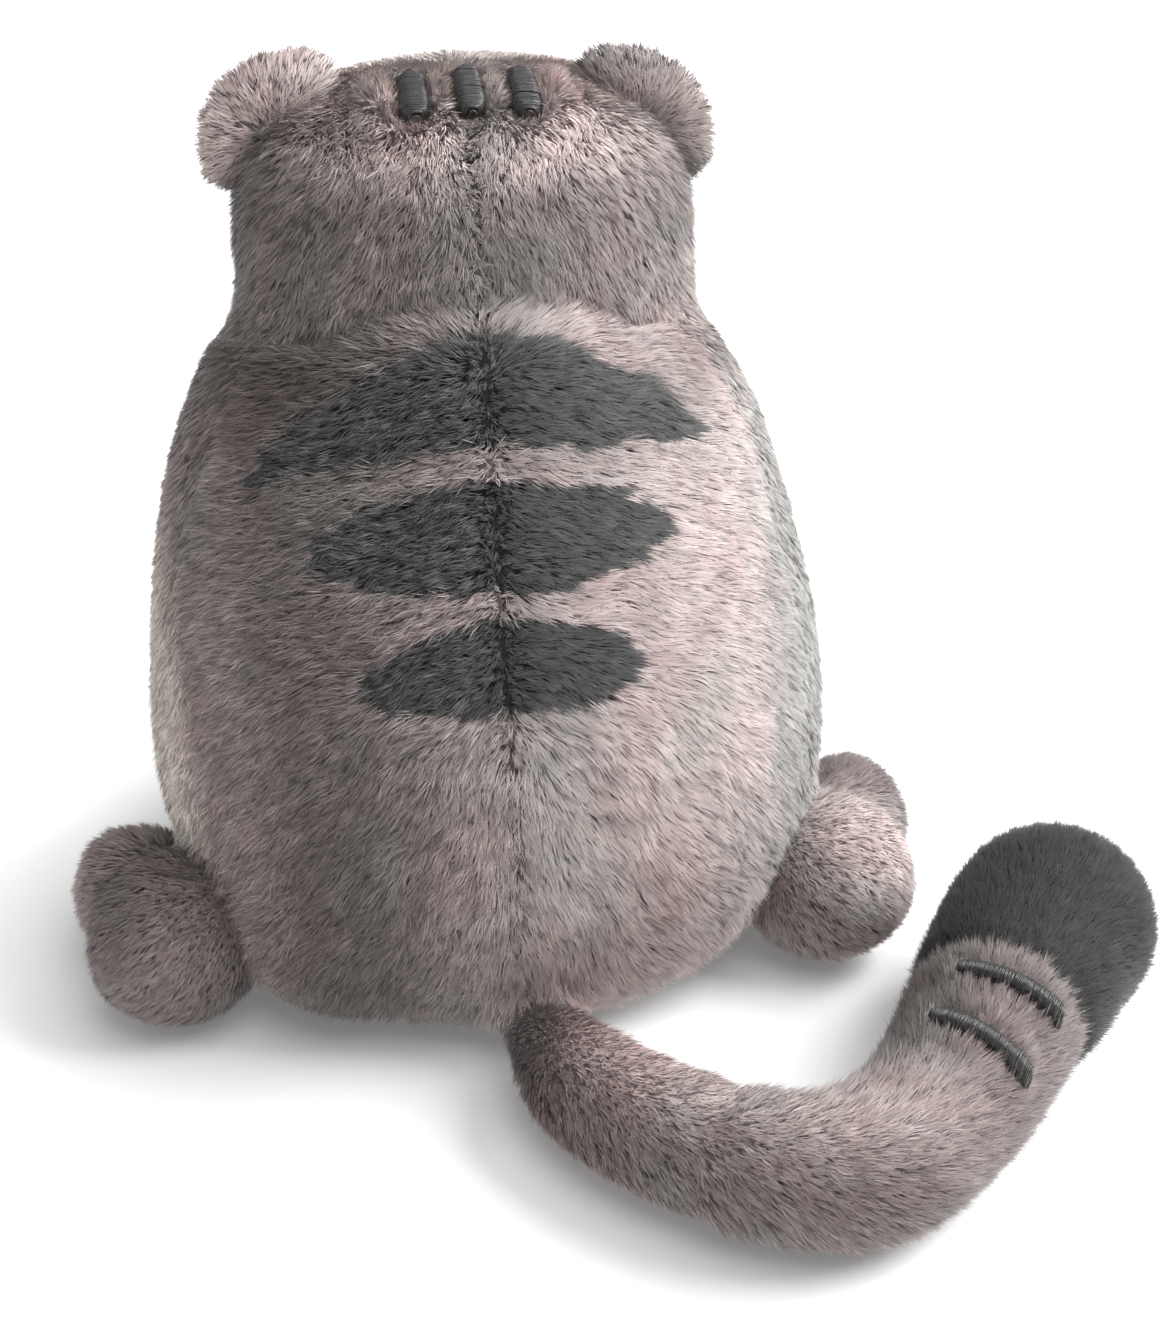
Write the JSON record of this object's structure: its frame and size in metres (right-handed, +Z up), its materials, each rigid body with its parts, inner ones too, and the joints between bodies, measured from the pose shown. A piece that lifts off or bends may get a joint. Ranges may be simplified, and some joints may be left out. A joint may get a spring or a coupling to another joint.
{
  "type": "plush cat toy",
  "caption": "Seated plump plush cat with dark back stripes, rounded ears, short paws and a thick tail curled round to one side.",
  "frame": {"origin": "middle of the flat base that the cat sits on", "axes": "+Z up, the cat looks along -Y, +X is the cat's left"},
  "size_m": [0.316, 0.284, 0.2578],
  "materials": {
    "plush_grey": "matte",
    "plush_dark": "matte",
    "plush_side": "matte",
    "short_plush": "matte",
    "ear_lining": "matte",
    "satin_thread": "matte",
    "nose_thread": "matte",
    "eye": "matte",
    "washer": "matte",
    "pellets": "matte",
    "pouch_cloth": "matte",
    "stuffing": "matte"
  },
  "bodies": {
    "torso": {"back_panel_left": "plush_grey", "back_panel_right": "plush_grey", "base_panel": "short_plush", "belly_panel": "plush_side", "pellet_fill": "pellets", "pellet_pouch": "pouch_cloth", "side_panel_left": "plush_side", "side_panel_right": "plush_side", "stripe_1_left": "plush_dark", "stripe_1_right": "plush_dark", "stripe_2_left": "plush_dark", "stripe_2_right": "plush_dark", "stripe_3_left": "plush_dark", "stripe_3_right": "plush_dark", "torso_stuffing": "stuffing"},
    "head": {"crown_bar_1": "satin_thread", "crown_bar_2": "satin_thread", "crown_bar_3": "satin_thread", "eye_left": "eye", "eye_left_washer": "washer", "eye_right": "eye", "eye_right_washer": "washer", "face_panel": "plush_grey", "head_back_left": "plush_grey", "head_back_right": "plush_grey", "head_stuffing": "stuffing", "mouth_stitches": "satin_thread", "nose": "nose_thread", "whisker_stitches": "satin_thread"},
    "ear_left": {"ear_left_back": "plush_grey", "ear_left_front": "ear_lining"},
    "ear_right": {"ear_right_back": "plush_grey", "ear_right_front": "ear_lining"},
    "paw_left": {"paw_left_skin": "plush_grey", "paw_left_stuffing": "stuffing"},
    "paw_right": {"paw_right_skin": "plush_grey", "paw_right_stuffing": "stuffing"},
    "leg_left": {"leg_left_skin": "plush_grey", "leg_left_sole": "short_plush", "leg_left_stuffing": "stuffing", "leg_left_toe_stitches": "satin_thread"},
    "leg_right": {"leg_right_skin": "plush_grey", "leg_right_sole": "short_plush", "leg_right_stuffing": "stuffing", "leg_right_toe_stitches": "satin_thread"},
    "tail_base": {"tail_base_skin": "plush_grey", "tail_base_stuffing": "stuffing"},
    "tail_mid": {"tail_mid_skin": "plush_grey", "tail_mid_stuffing": "stuffing"},
    "tail_end": {"tail_band_1": "satin_thread", "tail_band_2": "satin_thread", "tail_end_skin": "plush_grey", "tail_end_stuffing": "stuffing", "tail_tip": "plush_dark"}
  },
  "joints": [
    {"name": "head_nod", "type": "hinge", "parent": "torso", "child": "head", "pos_m": [0, -0.01397, 0.15124], "axis": [1, 0, 0], "range_deg": [-6, 6], "stiffness_Nm_per_rad": 1},
    {"name": "ear_left_fold", "type": "hinge", "parent": "head", "child": "ear_left", "pos_m": [0.052, -0.046, 0.236], "axis": [0.7071, 0, -0.7071], "range_deg": [-20, 20], "stiffness_Nm_per_rad": 0.05},
    {"name": "ear_right_fold", "type": "hinge", "parent": "head", "child": "ear_right", "pos_m": [-0.049, -0.0455, 0.2335], "axis": [0.7071, 0, 0.7071], "range_deg": [-20, 20], "stiffness_Nm_per_rad": 0.05},
    {"name": "paw_left_swing", "type": "hinge", "parent": "torso", "child": "paw_left", "pos_m": [0.064, -0.058, 0.142], "axis": [-1, 0, 0], "range_deg": [-10, 30], "stiffness_Nm_per_rad": 0.15},
    {"name": "paw_right_swing", "type": "hinge", "parent": "torso", "child": "paw_right", "pos_m": [-0.064, -0.058, 0.142], "axis": [-1, 0, 0], "range_deg": [-10, 30], "stiffness_Nm_per_rad": 0.15},
    {"name": "leg_left_splay", "type": "hinge", "parent": "torso", "child": "leg_left", "pos_m": [0.097, 0.043, 0.027], "axis": [0, 0, 1], "range_deg": [-4, 15], "stiffness_Nm_per_rad": 0.2},
    {"name": "leg_right_splay", "type": "hinge", "parent": "torso", "child": "leg_right", "pos_m": [-0.097, 0.038, 0.027], "axis": [0, 0, -1], "range_deg": [-4, 15], "stiffness_Nm_per_rad": 0.2},
    {"name": "tail_sweep", "type": "hinge", "parent": "torso", "child": "tail_base", "pos_m": [-0.004, 0.082, 0.018], "axis": [0, 0, -1], "range_deg": [0, 14], "stiffness_Nm_per_rad": 0.2},
    {"name": "tail_mid_bend", "type": "hinge", "parent": "tail_base", "child": "tail_mid", "pos_m": [-0.03884, 0.14193, 0.02273], "axis": [0, 0, -1], "range_deg": [0, 14], "stiffness_Nm_per_rad": 0.2},
    {"name": "tail_end_bend", "type": "hinge", "parent": "tail_mid", "child": "tail_end", "pos_m": [-0.09845, 0.15208, 0.02729], "axis": [0, 0, -1], "range_deg": [0, 14], "stiffness_Nm_per_rad": 0.2}
  ],
  "couplings": [
    {"joint": "tail_mid_bend", "follows": "tail_sweep", "ratio": 1},
    {"joint": "tail_end_bend", "follows": "tail_sweep", "ratio": 1}
  ]
}
